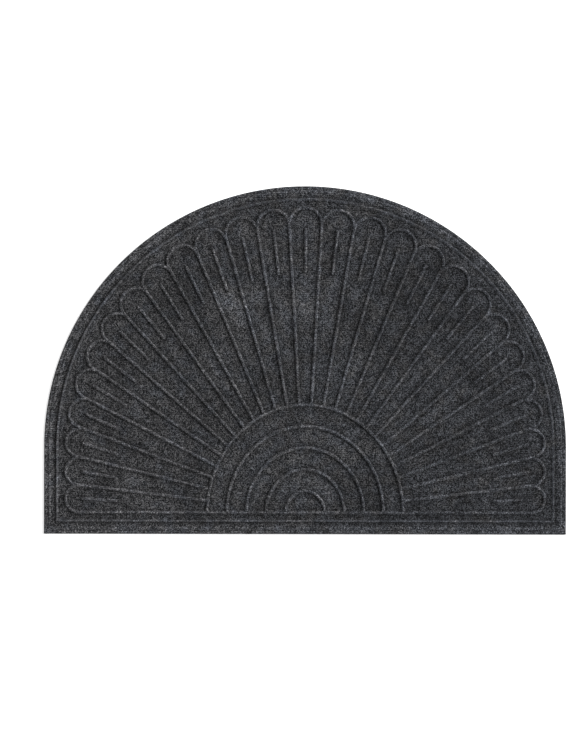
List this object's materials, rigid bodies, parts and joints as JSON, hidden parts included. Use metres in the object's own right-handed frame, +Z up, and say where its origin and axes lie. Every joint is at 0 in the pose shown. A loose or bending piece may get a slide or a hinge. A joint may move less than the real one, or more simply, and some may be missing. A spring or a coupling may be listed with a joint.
{
  "type": "half moon doormat",
  "caption": "Half moon doormat of pressed felt, with a raised fan of round-tipped petals and arches inside a stepped rim. It lies flat and scrapes and dries shoes.",
  "frame": {"origin": "under the middle of the mat's outline, on the floor: halfway between the two ends and halfway between the straight edge and the top of the round edge", "axes": "+X along the straight edge, to the right when it is nearest the viewer; +Y from the straight edge towards the round edge; +Z up, out of the pressed face"},
  "size_m": [0.9, 0.6, 0.008],
  "materials": {
    "felt": "charcoal heather needle-punched felt, heat-pressed with raised ribs, matt"
  },
  "bodies": {
    "root": {"mat": "felt"}
  },
  "joints": []
}
